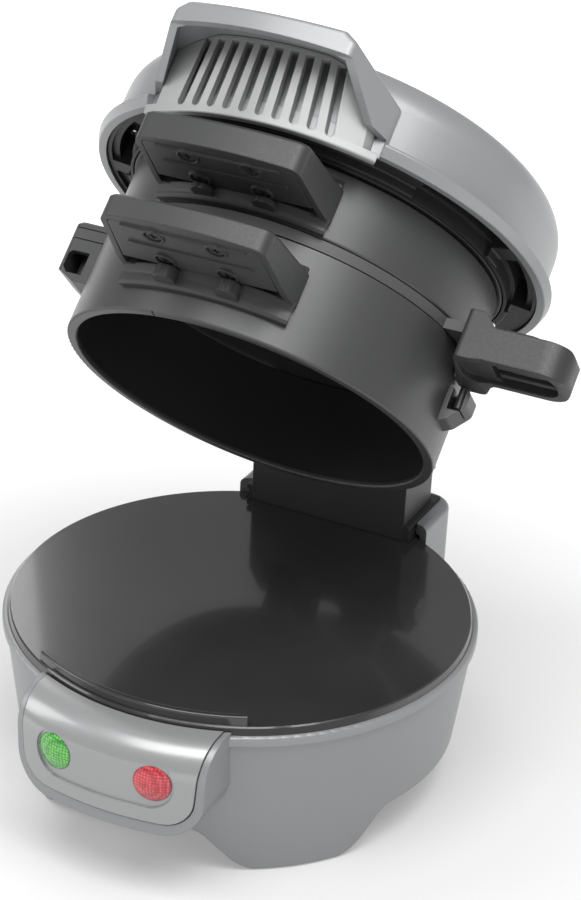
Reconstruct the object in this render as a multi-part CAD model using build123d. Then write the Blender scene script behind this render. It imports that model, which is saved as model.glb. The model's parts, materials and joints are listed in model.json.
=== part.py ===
from build123d import *
import os
from math import asin, atan2, cos, degrees, radians, sin, sqrt

# Breakfast sandwich maker, shown open: the two rings, the cooking plate between them and the lid
# are tilted back together about the rear hinge. Millimetres. The origin is on the floor, on the
# axis of the round base. +Z is up, the front (lights and handles) faces -Y, the hinge is at +Y.
# Rings, plate and lid are drawn shut, straight above the base, and are tilted back at the end.

# ---- pose, hinge pin and clearances ----
OPEN_ANGLE = 47.0          # how far the rings and lid are tilted back
PIN_R = 2.5                # hinge pin, parallel to X
KNUCKLE_R = 6.0
RUN_CLEAR = 0.06           # radial clearance of a pin in its bore
GAP = 0.3                  # clearance between separate mouldings
TALL = 200.0               # a height past the top of every piece, for cuts that go right through

# ---- rings: the bore takes a 100 mm muffin, and the rest is set out from it ----
RING_BORE_R = 55.6
LINER_T = 0.9
RING_WALL = 2.2
RING_R = RING_BORE_R + LINER_T + RING_WALL
RING_LIP_T = 1.5           # inward lip at the foot of each ring
LOW_RING_H = 31.4
UP_RING_H = 20.8
COOK_T = 3.3               # cooking plate between the rings
COOK_RIM = 2.2

# ---- heating plate of the base ----
PLATE_TOP = 53.7
PLATE_MARGIN = 13.3        # the plate reaches this far past the rings
PLATE_R = RING_R + PLATE_MARGIN
PLATE_BAND = 2.4           # height of its side band
PLATE_FLARE = 0.7          # the band is this much wider at its foot
PLATE_BOSS_T = 4.0         # thick cast middle over the element
LIP_H = 3.1                # raised guard at the front of the plate
LIP_T = 2.2
LIP_HALF_ANGLE = 29.1

# ---- stack of the shut rings ----
LOW_RING_BOTTOM = PLATE_TOP + GAP
LOW_RING_TOP = LOW_RING_BOTTOM + LOW_RING_H
COOK_BOTTOM = LOW_RING_TOP + GAP
UP_RING_BOTTOM = COOK_BOTTOM + COOK_T + GAP
UP_RING_TOP = UP_RING_BOTTOM + UP_RING_H

# ---- base housing ----
FOOT_CLEAR = 0.4           # the shell stops this far above the floor
WALL_TUCK = 4.6            # the wall meets the floor this far inside the plate's edge
WALL_R = PLATE_R - WALL_TUCK
WALL_SLOPE = 0.12          # growth of that radius per millimetre of height
WALL_T = 2.5
FLANGE_OVER = 2.2          # the flange shows this far past the plate
FLANGE_R = PLATE_R + FLANGE_OVER
FLANGE_TOP = PLATE_TOP - PLATE_BAND
FLANGE_H = 3.6
STEP_Z = FLANGE_TOP - FLANGE_H
LEDGE_W = 6.0              # ledge that carries the plate
LEDGE_R = PLATE_R - LEDGE_W
LEDGE_T = 2.6
PLATE_BOSS_R = LEDGE_R - 9.2
ARCH_H = 15.0              # arches between the four feet
SIDE_ARCH = (36.0, 27.0)   # half width at the floor and at the top
FRONT_ARCH = (34.0, 21.5)
ARCH_ROUND = (12.0, 8.0)
FOOT_AZIMUTH = 43.0        # feet are this far either side of front and rear
FOOT_AZIMUTHS = (-FOOT_AZIMUTH, FOOT_AZIMUTH, 180 - FOOT_AZIMUTH, FOOT_AZIMUTH - 180)

# ---- indicator panel on the front ----
POD_OUT = 12.0             # its face stands this far out of the flange, round the base axis
POD_R = FLANGE_R + POD_OUT
POD_TOP = FLANGE_TOP + 1.3
POD_H = 29.0
POD_BOTTOM = POD_TOP - POD_H
POD_HALF_TOP = 31.8
POD_HALF_LOW = 30.6
POD_CORNER = 12.0
POD_SHOULDER = 10.0        # rounding from the face to the flange
PANEL_EDGE_TOP = 1.7       # pod left showing beside the panel, above and below
PANEL_EDGE_LOW = 3.0
PANEL_EDGE_FOOT = 4.0
PANEL_HALF_TOP = POD_HALF_TOP - PANEL_EDGE_TOP
PANEL_HALF_LOW = POD_HALF_LOW - PANEL_EDGE_LOW
PANEL_BOTTOM = POD_BOTTOM + PANEL_EDGE_FOOT
PANEL_CORNER = 9.0
PANEL_T = 2.1
PANEL_PROUD = 0.3
WINDOW_HALF = 22.7         # recessed oblong round the two lights
WINDOW_H = 16.4
WINDOW_DEEP = 0.7
LIGHT_X = 16.3
LIGHT_Z = POD_BOTTOM + 17.0
LENS_R = 5.75
LENS_DOME = 1.4
LENS_FLANGE_R = 6.8
LENS_FLANGE_T = 1.2
LAMP_R = 2.6
LAMP_L = 6.0
BOARD_BACK = 12.2          # from the panel's face to the lamp board
BOARD_Y = BOARD_BACK - POD_R
BOARD_T = 1.6
BOARD_HALF = 21.0
BOARD_HALF_H = 7.5
BOARD_POST_R = 2.2
BOARD_SCREW_PITCH = 9.0

# ---- rear column and hinge tower ----
TOWER_INSET = 11.6         # the tower starts this far inside the plate's edge
TOWER_FRONT = PLATE_R - TOWER_INSET
TOWER_DEPTH = 23.9
TOWER_REAR = TOWER_FRONT + TOWER_DEPTH
TOWER_HALF = 27.9
TOWER_WALL = 3.2
CHEEK_T = 5.9
CHEEK_R = 6.8              # the pin lies this far inside the cheeks' rear and top
HINGE_Y = TOWER_REAR - CHEEK_R
HINGE_Z = LOW_RING_TOP + 3.3
CHEEK_TOP = HINGE_Z + CHEEK_R
TOWER_SEAT = HINGE_Z - 13.2  # top of the tower between its cheeks
REAR_CHAMFER = 8.0
COLLAR_T = 1.9             # soft collar between tower and column
COLUMN_TOP = PLATE_TOP + 4.3
COLLAR_TOP = COLUMN_TOP + 0.9
COLLAR_BOTTOM = COLUMN_TOP - 8.0
COLUMN_WALL = 3.0
COLUMN_LID_T = 4.0
COLUMN_HALF = TOWER_HALF + 6.6
COLUMN_REAR = TOWER_REAR + 5.7

# ---- bottom of the base ----
COVER_Z = ARCH_H + 0.6
COVER_T = 2.4
COVER_TOP = COVER_Z + COVER_T
COVER_R = WALL_R + WALL_SLOPE * COVER_Z - WALL_T - 2 * GAP
FOOT_PATH_R = WALL_R - 13.4
FOOT_R = 9.0
PAD_R = 7.4
PAD_H = 4.0
PAD_SOCKET = 2.5           # depth of the pad in its foot
STUD_PATH_R = PLATE_BOSS_R - 6.8
STUD_AZIMUTHS = (30, 150, 270)
STUD_R = 3.2
SCREW_R = 1.4
SCREW_HEAD_R = 2.9
SCREW_HEAD_H = 1.8
ELEMENT_PATH_R = PLATE_BOSS_R - 14.8
ELEMENT_R = 3.3
ELEMENT_GAP = 25.0         # half of the element's opening at the rear, in degrees
SHIELD_Z = FLANGE_TOP - 15.3
POST_X = 18.0              # posts in the tower for its two screws
POST_Y = TOWER_FRONT + 11.6
POST_R = 4.5
GLAND_AZIMUTH = -140.0
GLAND_Z = 29.0
GLAND_R = 6.0
GLAND_BORE_R = 3.3
GLAND_L = 12.0

# ---- hinge arms, and the ears that hold the cooking plate ----
ARM_T = 6.0                # arms side by side on the pin
LOW_ARM_X = 15.5
UP_ARM_X = 9.0
EAR_Y = -10.0              # left ear: pivot of the cooking plate
EAR_HALF = 9.0
EAR_X = RING_R + 10.3
EAR_BOTTOM = LOW_RING_TOP - 13.9
CAP_TOP = UP_RING_BOTTOM + 2.2
PIVOT_X = -RING_R - 4.8
PIVOT_R = 2.6
CATCH_X = RING_R + 3.5     # right ear: slot for the catch pin of the cooking plate
CATCH_Y = 1.5
CATCH_R = 1.5
CATCH_EAR_Y = (-2.5, 5.7)
CATCH_TOP = LOW_RING_TOP - 11.2
CATCH_SLOT_HALF = 2.1
CATCH_SLOT_DEEP = 6.7

# ---- ring handles ----
GRIP_HALF = 25.4
GRIP_ROOT_HALF = 27.3
GRIP_FRONT = RING_R + 25.3
GRIP_ROOT = RING_R + 3.3   # where the underside turns down to the flange
GRIP_BOW = 2.6             # the front face is bowed forward by this much
GRIP_WALL = 1.8
MOUNT_T = 2.8
MOUNT_HALF = 27.2
BOSS_X = 9.8
BOSS_Y = (RING_R + 19.3, RING_R + 7.5)
BOSS_R = 3.4
BOSS_PROUD = 0.6
COVER_PLATE_T = 1.6
MOUNT_SCREW_AZIMUTH = 14.0
# heights over the foot of the ring: underside at the front and at the root, top at the front
# and at the root, flange foot and top, mounting screws
LOW_HANDLE = [LOW_RING_BOTTOM + h for h in (15.0, 12.4, 21.6, 24.0, 7.0, 25.2, 18.5)]
UP_HANDLE = [UP_RING_BOTTOM + h for h in (4.7, 3.7, 13.1, 15.7, 0.2, 17.6, 9.2)]

# ---- cooking plate and its handle ----
COOK_R = RING_R - 0.2
TAB_HALF = 7.5
HUB_X = RING_R + 7.9       # line of the hub's screws
HUB_SCREW_Y = (-15.0, -5.0)
HUB_INNER = RING_R + 2.1
HUB_REAR = 3.2
HUB_Z = (COOK_BOTTOM - 9.4, COOK_BOTTOM + 5.8)
BLADE_Y = (-22.8, -3.7)    # width of the handle blade
BLADE_Z = (COOK_BOTTOM - 8.8, COOK_BOTTOM + 1.5)
BLADE_TIP = RING_R + 38.0
BLADE_IN = HUB_X + 6.4     # inner end of the recess under the blade
BLADE_PAD_IN = HUB_X + 8.4
BLADE_PAD_OUT = BLADE_TIP - 8.8
PAD_PEG_R = 1.5

# ---- lid ----
LID_INSET = 1.4            # drum of the lid against the plate of the base
LID_R = PLATE_R - LID_INSET
RIM_BOTTOM = UP_RING_TOP + 3.0
RIM_R = LID_R + 2.1
CREASE_Z = RIM_BOTTOM + 3.5
CREASE_R = LID_R + 3.5
LID_SHOULDER = RIM_BOTTOM + 28.8
LID_CORNER = 12.0
LID_CROWN = 2.4
LID_T = 2.4
RIM_INNER = LID_R - 0.4
HOOD_R = LID_R + 19.4      # front of the hood, a cylinder about the lid's axis
HOOD_HALF_FRONT = 27.6
HOOD_HALF_REAR = 37.4
HOOD_TOP = LID_SHOULDER - 6.0
HOOD_LIP_Z = LID_SHOULDER - 12.2
HOOD_WALL = 2.6
HOOD_CORNER = 3.0
HOOD_EDGE = 2.0
HOOD_LIP_ROUND = 1.2
GRILLE_ANGLE = 30.3
GRILLE_R = (LID_R + 2.0, LID_R + 5.7)
GRILLE_T = 2.0
GRILLE_TOP = LID_SHOULDER - 7.6
GRILLE_BOTTOM = RIM_BOTTOM - 2.6
GRILLE_PEG_AZIMUTH = 23.3
GRILLE_PEG_Z = RIM_BOTTOM + 10.9
PEG_R = 1.4
SLOT_COUNT = 10
SLOT_W = 2.6
SLOT_BOTTOM = RIM_BOTTOM - 0.5
SLOT_TOP = GRILLE_TOP - 1.2
SLOT_PITCH_LOW = 5.25
SLOT_PITCH_TOP = 4.7

# ---- lining, heater and hinge arm of the lid ----
TRAY_Z = RIM_BOTTOM + 0.9  # flat underside of the lid tray
TRAY_T = 2.2
TRAY_COLLAR_R = LID_R - 8.2
TOP_PLATE_R = TRAY_COLLAR_R - 2.5
TOP_PLATE_Z = UP_RING_TOP + 0.5
TOP_PLATE_T = 2.4
TOP_BOSS_R = TOP_PLATE_R - 7.9
TOP_BOSS_T = 4.0
TRAY_LEDGE_R = TOP_PLATE_R - 3.9
POCKET_AZIMUTH = ((44.0, 75.0), (81.0, 111.0))
POCKET_R = (TRAY_COLLAR_R, LID_R - 4.0)
POCKET_MOUTH_R = (TRAY_COLLAR_R - 1.2, LID_R - 1.9)
POCKET_MOUTH_H = 1.4
POCKET_TOP = TRAY_Z + 9.4
POCKET_WALL = 1.3
LID_SCREW_R = LID_R - 6.2
LID_SCREW_AZIMUTHS = (-68.5, 68.5, -97, 97)
TOP_STUD_PATH_R = TOP_BOSS_R - 4.5
TOP_ELEMENT_PATH_R = TOP_BOSS_R - 13.0
TOP_SHIELD_Z = TRAY_Z + 11.5
TOP_STUD_END = TOP_SHIELD_Z + 5.5
LID_ARM_HALF = 8.4
LID_ARM_Y = (HINGE_Y - 2.9, HINGE_Y + 3.5)
LID_ARM_TOP = RIM_BOTTOM + 7.9
LEG_T = 4.0
LEG_SCREW_X = 4.6
LEG_SCREW_Y = LID_R - 7.2


# ---- helpers ----
def outline(corners):
    """Face in XY whose corners are (u, v, rounding radius)."""
    points = [(u, v) for u, v, _ in corners]
    return make_face(FilletPolyline(*points, radius=[r for _, _, r in corners], close=True))


def turned(corners):
    """Solid of revolution about Z from a half profile of (radius, height, rounding)."""
    return revolve(Plane.XZ * outline(corners), axis=Axis.Z)


def upright(corners, z0, z1):
    """Plan outline (x, y, rounding) raised from z0 to z1."""
    return extrude(Pos(0, 0, z0) * outline(corners), amount=z1 - z0)


def sideways(corners, x0, x1):
    """Side outline (y, z, rounding) drawn across from x0 to x1."""
    return extrude(Plane.YZ.offset(x0) * outline(corners), amount=x1 - x0)


def frontal(corners, y0, y1):
    """Front outline (x, z, rounding) drawn from y0 to y1, where y1 is the larger."""
    return extrude(Plane.XZ.offset(-y1) * outline(corners), amount=y1 - y0)


def disc(radius, z0, z1, x=0.0, y=0.0):
    return Pos(x, y, (z0 + z1) / 2) * Cylinder(radius, z1 - z0)


def tube(r_out, r_in, z0, z1, x=0.0, y=0.0):
    return disc(r_out, z0, z1, x, y) - disc(r_in, z0 - 1, z1 + 1, x, y)


def block(x0, x1, y0, y1, z0, z1):
    return Pos((x0 + x1) / 2, (y0 + y1) / 2, (z0 + z1) / 2) * Box(x1 - x0, y1 - y0, z1 - z0)


def crossbar(radius, x0, x1, y, z):
    """Round bar along X."""
    return Pos((x0 + x1) / 2, y, z) * Rot(0, 90, 0) * Cylinder(radius, x1 - x0)


def on_azimuth(radius, azimuth):
    """Point at a radius from the axis; azimuth counts from the front towards +X."""
    return radius * sin(radians(azimuth)), -radius * cos(radians(azimuth))


def sector(r_in, r_out, az0, az1, z0, z1):
    """Part of a ring between two azimuths."""
    far = 3 * r_out
    steps = 4
    fan = [(0, 0)]
    fan += [on_azimuth(far, az0 + (az1 - az0) * k / steps) for k in range(steps + 1)]
    wedge = extrude(Pos(0, 0, z0 - 1) * make_face(Polyline(*fan, close=True)), amount=z1 - z0 + 2)
    return tube(r_out, r_in, z0, z1) & wedge


def screw(length, head_r=SCREW_HEAD_R, head_h=SCREW_HEAD_H, shank_r=SCREW_R):
    """Screw standing on its head at the origin, shank along +Z, with a cross recess."""
    body = disc(head_r, 0, head_h) + disc(shank_r, head_h, length)
    body = chamfer(body.edges().group_by(Axis.Z)[0], 0.3)
    recess = 0.6 * head_h
    cross = block(-head_r * 0.6, head_r * 0.6, -0.35, 0.35, -1, recess)
    return body - cross - Rot(0, 0, 90) * cross


def opened(shape):
    """Tilts a piece, drawn in the closed position, back about the hinge."""
    return Pos(0, HINGE_Y, HINGE_Z) * Rot(-OPEN_ANGLE, 0, 0) * Pos(0, -HINGE_Y, -HINGE_Z) * shape


def wall_radius(z):
    return WALL_R + WALL_SLOPE * z


# ---- base housing ----
def arch(half_low, half_top):
    """Outline cut away between two feet, in (across, height)."""
    low, top = ARCH_ROUND
    reach = half_low + 10
    return [(-reach, -6, 0), (-reach, 0, 0), (-half_low, 0, low), (-half_top, ARCH_H, top),
            (half_top, ARCH_H, top), (half_low, 0, low), (reach, 0, 0), (reach, -6, 0)]


def pod_surface(grow):
    """Solid of revolution inside the face of the indicator pod, grown outward."""
    inner = PLATE_R + PLATE_FLARE + GAP + 0.1
    return turned([(WALL_R - 1.0, POD_BOTTOM - 8, 0), (POD_R + grow, POD_BOTTOM - 8, 0),
                   (POD_R + grow, POD_TOP + grow, POD_SHOULDER + grow), (inner, POD_TOP + grow, 0),
                   (inner, FLANGE_TOP - 1, 0), (WALL_R - 1.0, FLANGE_TOP - 1, 0)])


def shield(half_top, half_low, bottom, corner):
    """Front outline of the pod or panel, open ended upward."""
    shape = [(-half_top, POD_TOP + 8, 0), (-half_low, bottom, corner),
             (half_low, bottom, corner), (half_top, POD_TOP + 8, 0)]
    return frontal(shape, -POD_R - 10, 22 - PLATE_R)


def column_plan(half, rear, rounding):
    front = TOWER_FRONT - 5.4
    return [(-half, front, 0), (half, front, 0), (half, rear, rounding), (-half, rear, rounding)]


def base_housing():
    inner_top = FLANGE_TOP - LEDGE_T
    floor_r = wall_radius(FOOT_CLEAR)
    shell = turned([(floor_r, FOOT_CLEAR, 0.5), (wall_radius(STEP_Z), STEP_Z, 0.3),
                    (FLANGE_R, STEP_Z + 0.7, 0.3), (FLANGE_R, FLANGE_TOP, 1.0),
                    (LEDGE_R, FLANGE_TOP, 0), (LEDGE_R, inner_top, 0),
                    (wall_radius(inner_top) - WALL_T, inner_top, 0.5),
                    (floor_r - WALL_T, FOOT_CLEAR, 0.5)])
    shell -= sideways(arch(*SIDE_ARCH), -100, 100)
    shell -= frontal(arch(*FRONT_ARCH), -100, 100)
    # pod for the indicator panel, with a pocket that leaves a ledge round a hollow
    pod = shield(POD_HALF_TOP, POD_HALF_LOW, POD_BOTTOM, POD_CORNER) & pod_surface(0)
    shell += pod - wall_core(COVER_Z)
    pocket = shield(PANEL_HALF_TOP + GAP, PANEL_HALF_LOW + GAP, PANEL_BOTTOM - GAP, PANEL_CORNER)
    shell -= (pocket & pod_surface(5)) - pod_surface(PANEL_PROUD - PANEL_T)
    hollow = shield(PANEL_HALF_TOP - 2, PANEL_HALF_LOW - 2, PANEL_BOTTOM + 2, PANEL_CORNER - 2)
    shell -= hollow & block(-40, 40, -POD_R - 5, 12 - WALL_R, POD_BOTTOM, inner_top)
    # rear column round the foot of the hinge tower
    half = COLUMN_HALF
    column = upright(column_plan(half, COLUMN_REAR, 9), COVER_Z, COLUMN_TOP)
    column = fillet(column.edges().group_by(Axis.Z)[-1], 1.8)
    column -= disc(PLATE_R + PLATE_FLARE + GAP, FLANGE_TOP, COLUMN_TOP + 1)
    column -= wall_core(COVER_Z - 1)
    column -= disc(LEDGE_R, COVER_Z, COLUMN_TOP + 1)
    shell += column
    shell -= upright([(-half + COLUMN_WALL, TOWER_FRONT - 0.5, 0),
                      (half - COLUMN_WALL, TOWER_FRONT - 0.5, 0),
                      (half - COLUMN_WALL, COLUMN_REAR - COLUMN_WALL, 6),
                      (-half + COLUMN_WALL, COLUMN_REAR - COLUMN_WALL, 6)],
                     COVER_Z - 1, COLUMN_TOP - COLUMN_LID_T)
    side = TOWER_HALF + COLLAR_T + 0.1
    shell -= block(-side, side, TOWER_FRONT - 0.5, TOWER_REAR + COLLAR_T + 0.1,
                   COVER_Z - 1, COLUMN_TOP + 10)
    shell -= at_gland() * Cylinder(GLAND_R, 30)
    return shell


def light_axis(side):
    """Radial direction of one indicator light, +Z pointing outward."""
    azimuth = side * degrees(asin(LIGHT_X / POD_R))
    return Pos(0, 0, LIGHT_Z) * Rot(0, 0, azimuth) * Rot(90, 0, 0)


def board_screw_heights():
    """The lamp board is screwed to two posts, one above the other between the lights."""
    middle = LIGHT_Z - 1.6
    return middle - BOARD_SCREW_PITCH / 2, middle + BOARD_SCREW_PITCH / 2


def oblong(half, z0, z1):
    high = (z1 - z0) / 2 - 0.05
    return frontal([(-half, z0, high), (half, z0, high), (half, z1, high), (-half, z1, high)],
                   -POD_R - 10, 0)


def front_panel():
    outline_cut = shield(PANEL_HALF_TOP, PANEL_HALF_LOW, PANEL_BOTTOM, PANEL_CORNER)
    panel = (outline_cut & pod_surface(PANEL_PROUD)) - pod_surface(PANEL_PROUD - PANEL_T)
    panel -= disc(PLATE_R + PLATE_FLARE + GAP + 0.1, 0, 80)
    window = oblong(WINDOW_HALF, LIGHT_Z - WINDOW_H / 2 - 0.2, LIGHT_Z + WINDOW_H / 2 - 0.2)
    panel -= window - disc(POD_R + PANEL_PROUD - WINDOW_DEEP, 0, 80)
    for side in (-1, 1):
        panel -= light_axis(side) * Pos(0, 0, POD_R) * Cylinder(LENS_R + 0.1, 20)
    for z in board_screw_heights():
        post = Pos(0, (BOARD_Y - POD_R + 1) / 2, z) * Rot(90, 0, 0) * Cylinder(
            BOARD_POST_R, BOARD_Y + POD_R - 1)
        pilot = Pos(0, BOARD_Y, z) * Rot(90, 0, 0) * Cylinder(SCREW_R * 0.7, 14)
        panel += post
        panel -= pilot
    return panel


def lens(side):
    base = POD_R + PANEL_PROUD - PANEL_T - LENS_FLANGE_T
    top = POD_R + PANEL_PROUD - WINDOW_DEEP
    shape = Pos(0, 0, (base + top) / 2) * Cylinder(LENS_R, top - base)
    shape += Pos(0, 0, base + LENS_FLANGE_T / 2) * Cylinder(LENS_FLANGE_R, LENS_FLANGE_T)
    ball = (LENS_R ** 2 + LENS_DOME ** 2) / (2 * LENS_DOME)
    cap = Pos(0, 0, top + LENS_DOME - ball) * Sphere(ball)
    shape += cap & (Pos(0, 0, top + 3) * Cylinder(LENS_R, 6))
    skin = pod_surface(PANEL_PROUD) - pod_surface(PANEL_PROUD - PANEL_T)
    skin &= disc(POD_R + 5, POD_BOTTOM - 3, POD_TOP + 7)
    bore = light_axis(side) * Pos(0, 0, POD_R) * Cylinder(LENS_R + 0.1, 20)
    return light_axis(side) * shape - (skin - bore)


def indicator_lamps():
    lamps = []
    for side in (-1, 1):
        x = side * (LIGHT_X - 0.6)
        stem = Pos(x, BOARD_Y - LAMP_L / 2, LIGHT_Z) * Rot(90, 0, 0) * Cylinder(LAMP_R, LAMP_L)
        rim = Pos(x, BOARD_Y - 0.5, LIGHT_Z) * Rot(90, 0, 0) * Cylinder(LAMP_R + 0.5, 1.0)
        lamps.append(fillet((stem + rim).edges().group_by(Axis.Y)[0], LAMP_R * 0.6))
    return Compound(children=lamps)


def lamp_board():
    middle = LIGHT_Z - 1.6
    board = block(-BOARD_HALF, BOARD_HALF, BOARD_Y, BOARD_Y + BOARD_T,
                  middle - BOARD_HALF_H, middle + BOARD_HALF_H)
    for z in board_screw_heights():
        board -= Pos(0, BOARD_Y, z) * Rot(90, 0, 0) * Cylinder(SCREW_R * 0.7, 10)
    return board


def lamp_board_screws():
    head = Pos(0, BOARD_Y + BOARD_T + 1.2, 0)
    return Compound(children=[
        head * Pos(0, 0, z) * Rot(90, 0, 0) * screw(8.5, 2.2, 1.2, SCREW_R * 0.7)
        for z in board_screw_heights()])


# ---- heating plate of the base and what hangs under it ----
def tower_notch(z0, z1):
    side = TOWER_HALF + COLLAR_T + 0.3
    return block(-side, side, TOWER_FRONT - 0.6, 100, z0, z1)


def lower_heating_plate():
    plate = turned([(0, FLANGE_TOP, 0), (PLATE_R + PLATE_FLARE, FLANGE_TOP, 0),
                    (PLATE_R, PLATE_TOP - 0.4, 0), (PLATE_R - 0.4, PLATE_TOP, 0), (0, PLATE_TOP, 0)])
    plate += disc(PLATE_BOSS_R, FLANGE_TOP - PLATE_BOSS_T, FLANGE_TOP)
    lip = sector(PLATE_R - 0.7 - LIP_T, PLATE_R - 0.7, -LIP_HALF_ANGLE, LIP_HALF_ANGLE,
                 PLATE_TOP - 1.0, PLATE_TOP + LIP_H)
    plate += fillet(lip.edges().group_by(Axis.Z)[-1].filter_by(GeomType.CIRCLE), 0.7)
    plate -= tower_notch(FLANGE_TOP - 10, PLATE_TOP + 5)
    for azimuth in STUD_AZIMUTHS:
        x, y = on_azimuth(STUD_PATH_R, azimuth)
        plate += disc(STUD_R, COVER_TOP, FLANGE_TOP - PLATE_BOSS_T, x, y)
        plate -= disc(SCREW_R, COVER_TOP - 1, COVER_TOP + 9, x, y)
    return plate


def heater(path_r, tube_r, z, lead_z):
    """Bent tube element with its gap at the rear and two leads along Z."""
    start = on_azimuth(path_r, ELEMENT_GAP - 180)
    end = on_azimuth(path_r, 180 - ELEMENT_GAP)
    path = ThreePointArc((*start, z), (0, -path_r, z), (*end, z))
    section = Plane(origin=path @ 0, z_dir=path % 0) * Circle(tube_r)
    body = sweep(section, path)
    for x, y in (start, end):
        body += disc(tube_r * 0.8, min(z, lead_z), max(z, lead_z), x, y)
    return body


def lower_heating_element():
    return heater(ELEMENT_PATH_R, ELEMENT_R, FLANGE_TOP - PLATE_BOSS_T - ELEMENT_R,
                  SHIELD_Z - 4.0)


def lower_heat_shield():
    top = FLANGE_TOP - LEDGE_T
    rim = LEDGE_R + 3.5
    wall = PLATE_BOSS_R + 0.8
    pan = turned([(0, SHIELD_Z, 0), (wall + 1, SHIELD_Z, 1.5), (wall + 1, top - 1, 0),
                  (rim, top - 1, 0), (rim, top, 0), (wall, top, 0), (wall, SHIELD_Z + 1, 0.5),
                  (0, SHIELD_Z + 1, 0)])
    pan -= tower_notch(SHIELD_Z - 1, top + 1)
    for azimuth in STUD_AZIMUTHS:
        x, y = on_azimuth(STUD_PATH_R, azimuth)
        pan -= disc(STUD_R + 0.2, SHIELD_Z - 1, SHIELD_Z + 2, x, y)
    for side in (-1, 1):
        x, y = on_azimuth(ELEMENT_PATH_R, side * (180 - ELEMENT_GAP))
        pan -= disc(ELEMENT_R + 1, SHIELD_Z - 1, SHIELD_Z + 2, x, y)
    return pan


def nut(bore, z):
    hexagon = extrude(Pos(0, 0, z) * RegularPolygon(bore + 2.2, 6), amount=3)
    return hexagon - disc(bore, z - 1, z + 4)


def lower_shield_nuts():
    return Compound(children=[Pos(*on_azimuth(STUD_PATH_R, a), 0) * nut(STUD_R, SHIELD_Z - 3)
                              for a in STUD_AZIMUTHS])


def thermostat(z0, z1, tab_z):
    body = disc(8.0, z0, z1)
    tabs = block(-10.5, 10.5, -2.2, 2.2, tab_z, tab_z + 0.9)
    return body + tabs


def lower_thermostat():
    seat = FLANGE_TOP - PLATE_BOSS_T
    return Pos(0, 10, 0) * thermostat(seat - 6, seat, seat - 6)


def thermal_fuse():
    seat = FLANGE_TOP - PLATE_BOSS_T
    return crossbar(2.0, -6, 6, -15, seat - 2) + crossbar(0.6, -11, 11, -15, seat - 2)


def terminal_block():
    body = block(-12, 12, 23, 37, COVER_TOP, COVER_TOP + 10)
    for x in (-8, 0, 8):
        body -= Pos(x, 30, COVER_TOP + 10) * Cylinder(2.6, 8)
    return body


def base_bottom_cover():
    cover = disc(COVER_R, COVER_Z, COVER_TOP)
    half = TOWER_HALF + COLLAR_T - GAP
    cover += block(-half, half, 40, TOWER_REAR + COLLAR_T - 0.2, COVER_Z, COVER_TOP)
    for azimuth in FOOT_AZIMUTHS:
        x, y = on_azimuth(FOOT_PATH_R, azimuth)
        cover += disc(FOOT_R, PAD_H - PAD_SOCKET, COVER_Z, x, y)
        cover -= disc(PAD_R, 0, PAD_H, x, y)
    for azimuth in STUD_AZIMUTHS:
        cover -= disc(SCREW_R, COVER_Z - 1, COVER_Z + 4, *on_azimuth(STUD_PATH_R, azimuth))
    for x in (-POST_X, POST_X):
        cover -= disc(SCREW_R, COVER_Z - 1, COVER_Z + 4, x, POST_Y)
    for k in range(5):
        y = -24 + 10 * k
        cover -= block(-14, 14, y, y + 2.5, COVER_Z - 1, COVER_TOP + 1)
    return cover


def foot_pads():
    pads = []
    for azimuth in FOOT_AZIMUTHS:
        pad = disc(PAD_R, 0, PAD_H, *on_azimuth(FOOT_PATH_R, azimuth))
        pads.append(chamfer(pad.edges().group_by(Axis.Z)[0], 0.4))
    return Compound(children=pads)


def base_screws():
    lift = COVER_Z - SCREW_HEAD_H
    return Compound(children=[Pos(*on_azimuth(STUD_PATH_R, a), lift) * screw(11.5)
                              for a in STUD_AZIMUTHS])


def tower_screws():
    lift = COVER_Z - SCREW_HEAD_H
    return Compound(children=[Pos(x, POST_Y, lift) * screw(16) for x in (-POST_X, POST_X)])


def at_gland():
    x, y = on_azimuth(wall_radius(GLAND_Z), GLAND_AZIMUTH)
    return Pos(x, y, GLAND_Z) * Rot(0, 0, GLAND_AZIMUTH) * Rot(90, 0, 0)


def wall_skin():
    """The plain tapered wall of the base."""
    inner_top = FLANGE_TOP - LEDGE_T
    low, high = wall_radius(COVER_Z), wall_radius(inner_top)
    return turned([(low, COVER_Z, 0), (high, inner_top, 0), (high - WALL_T, inner_top, 0),
                   (low - WALL_T, COVER_Z, 0)])


def wall_core(z0):
    """The space inside that wall, up to the ledge."""
    inner_top = FLANGE_TOP - LEDGE_T
    return turned([(0, z0, 0), (wall_radius(z0) - WALL_T, z0, 0),
                   (wall_radius(inner_top) - WALL_T, inner_top, 0), (0, inner_top, 0)])


def cord_gland():
    """Bushing for the cord: body through the wall, flange outside, collar inside."""
    body = Cylinder(GLAND_R, GLAND_L)
    flange = Pos(0, 0, 1.7) * Cylinder(GLAND_R + 2.2, 1.8)
    flange = fillet(flange.edges().group_by(Axis.Z)[-1], 0.8)
    collar = Pos(0, 0, -5.0) * Cylinder(GLAND_R + 1.0, 2.0)
    gland = at_gland() * (body + flange + collar)
    gland -= wall_skin() - at_gland() * Cylinder(GLAND_R, 30)
    return gland - at_gland() * Cylinder(GLAND_BORE_R, 40)


# ---- hinge tower ----
def tower_plan(grow):
    half = TOWER_HALF + grow
    return [(-half, TOWER_FRONT, 0), (half, TOWER_FRONT, 0),
            (half, TOWER_REAR + grow, 3 + grow), (-half, TOWER_REAR + grow, 3 + grow)]


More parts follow.
